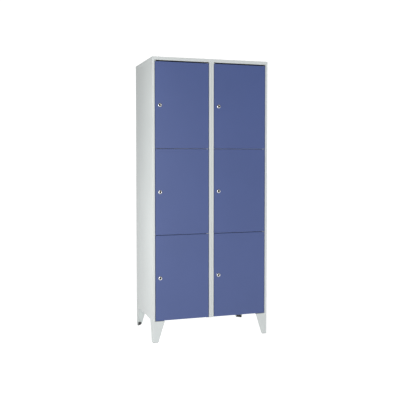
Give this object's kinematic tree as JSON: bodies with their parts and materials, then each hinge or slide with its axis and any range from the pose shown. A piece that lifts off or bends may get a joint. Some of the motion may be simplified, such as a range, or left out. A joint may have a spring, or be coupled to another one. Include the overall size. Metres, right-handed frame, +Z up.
{
  "type": "school locker",
  "caption": "Two-column steel school locker on tapered angle feet, with stacked compartments closed by plain inset doors, each with a right-hand hinge and a cam lock.",
  "frame": {"origin": "on the floor, under the middle of the locker with its doors closed", "axes": "+Z up, +Y from the doors to the back, +X to the right seen from the front"},
  "size_m": [0.8, 0.5014, 1.85],
  "materials": {
    "carcass_paint": "light grey powder coat, fine orange peel, semi-matt",
    "door_paint": "pigeon blue powder coat, fine orange peel, semi-matt",
    "lock_nickel": "nickel-plated zinc casting, bright",
    "lock_core": "black passivated zinc core",
    "zinc_steel": "zinc-plated, clear passivated",
    "glide_plastic": "moulded black polyethylene",
    "nylon": "natural nylon",
    "buffer_rubber": "black rubber"
  },
  "bodies": {
    "cabinet": {"left_side_panel": "carcass_paint", "right_side_panel": "carcass_paint", "left_partition_panel": "carcass_paint", "right_partition_panel": "carcass_paint", "back_panel": "carcass_paint", "top_cover": "carcass_paint", "base_panel": "carcass_paint", "left_lower_shelf": "carcass_paint", "left_upper_shelf": "carcass_paint", "right_lower_shelf": "carcass_paint", "right_upper_shelf": "carcass_paint", "front_left_foot": "carcass_paint", "front_right_foot": "carcass_paint", "rear_left_foot": "carcass_paint", "rear_right_foot": "carcass_paint", "foot_glides": "glide_plastic", "foot_screws": "zinc_steel", "foot_nuts": "zinc_steel", "hinge_plates": "zinc_steel", "hinge_pins": "zinc_steel", "hinge_washers": "nylon", "door_buffers": "buffer_rubber"},
    "left_bottom_door": {"left_bottom_door_panel": "door_paint", "left_bottom_door_stiffener": "door_paint", "left_bottom_lock_housing": "lock_nickel", "left_bottom_lock_nut": "zinc_steel"},
    "left_bottom_lock": {"left_bottom_lock_plug": "lock_core", "left_bottom_lock_cam": "zinc_steel"},
    "left_middle_door": {"left_middle_door_panel": "door_paint", "left_middle_door_stiffener": "door_paint", "left_middle_lock_housing": "lock_nickel", "left_middle_lock_nut": "zinc_steel"},
    "left_middle_lock": {"left_middle_lock_plug": "lock_core", "left_middle_lock_cam": "zinc_steel"},
    "left_top_door": {"left_top_door_panel": "door_paint", "left_top_door_stiffener": "door_paint", "left_top_lock_housing": "lock_nickel", "left_top_lock_nut": "zinc_steel"},
    "left_top_lock": {"left_top_lock_plug": "lock_core", "left_top_lock_cam": "zinc_steel"},
    "right_bottom_door": {"right_bottom_door_panel": "door_paint", "right_bottom_door_stiffener": "door_paint", "right_bottom_lock_housing": "lock_nickel", "right_bottom_lock_nut": "zinc_steel"},
    "right_bottom_lock": {"right_bottom_lock_plug": "lock_core", "right_bottom_lock_cam": "zinc_steel"},
    "right_middle_door": {"right_middle_door_panel": "door_paint", "right_middle_door_stiffener": "door_paint", "right_middle_lock_housing": "lock_nickel", "right_middle_lock_nut": "zinc_steel"},
    "right_middle_lock": {"right_middle_lock_plug": "lock_core", "right_middle_lock_cam": "zinc_steel"},
    "right_top_door": {"right_top_door_panel": "door_paint", "right_top_door_stiffener": "door_paint", "right_top_lock_housing": "lock_nickel", "right_top_lock_nut": "zinc_steel"},
    "right_top_lock": {"right_top_lock_plug": "lock_core", "right_top_lock_cam": "zinc_steel"}
  },
  "joints": [
    {"name": "left_bottom_hinge", "type": "hinge", "parent": "cabinet", "child": "left_bottom_door", "pos_m": [-0.029, -0.2415, 0.42158], "axis": [0, 0, 1], "range_deg": [0, 110]},
    {"name": "left_bottom_key_turn", "type": "hinge", "parent": "left_bottom_door", "child": "left_bottom_lock", "pos_m": [-0.349, -0.2485, 0.42158], "axis": [0, 1, 0], "range_deg": [0, 90]},
    {"name": "left_middle_hinge", "type": "hinge", "parent": "cabinet", "child": "left_middle_door", "pos_m": [-0.029, -0.2415, 0.98175], "axis": [0, 0, 1], "range_deg": [0, 110]},
    {"name": "left_middle_key_turn", "type": "hinge", "parent": "left_middle_door", "child": "left_middle_lock", "pos_m": [-0.349, -0.2485, 0.98175], "axis": [0, 1, 0], "range_deg": [0, 90]},
    {"name": "left_top_hinge", "type": "hinge", "parent": "cabinet", "child": "left_top_door", "pos_m": [-0.029, -0.2415, 1.54192], "axis": [0, 0, 1], "range_deg": [0, 110]},
    {"name": "left_top_key_turn", "type": "hinge", "parent": "left_top_door", "child": "left_top_lock", "pos_m": [-0.349, -0.2485, 1.54192], "axis": [0, 1, 0], "range_deg": [0, 90]},
    {"name": "right_bottom_hinge", "type": "hinge", "parent": "cabinet", "child": "right_bottom_door", "pos_m": [0.371, -0.2415, 0.42158], "axis": [0, 0, 1], "range_deg": [0, 110]},
    {"name": "right_bottom_key_turn", "type": "hinge", "parent": "right_bottom_door", "child": "right_bottom_lock", "pos_m": [0.051, -0.2485, 0.42158], "axis": [0, 1, 0], "range_deg": [0, 90]},
    {"name": "right_middle_hinge", "type": "hinge", "parent": "cabinet", "child": "right_middle_door", "pos_m": [0.371, -0.2415, 0.98175], "axis": [0, 0, 1], "range_deg": [0, 110]},
    {"name": "right_middle_key_turn", "type": "hinge", "parent": "right_middle_door", "child": "right_middle_lock", "pos_m": [0.051, -0.2485, 0.98175], "axis": [0, 1, 0], "range_deg": [0, 90]},
    {"name": "right_top_hinge", "type": "hinge", "parent": "cabinet", "child": "right_top_door", "pos_m": [0.371, -0.2415, 1.54192], "axis": [0, 0, 1], "range_deg": [0, 110]},
    {"name": "right_top_key_turn", "type": "hinge", "parent": "right_top_door", "child": "right_top_lock", "pos_m": [0.051, -0.2485, 1.54192], "axis": [0, 1, 0], "range_deg": [0, 90]}
  ]
}
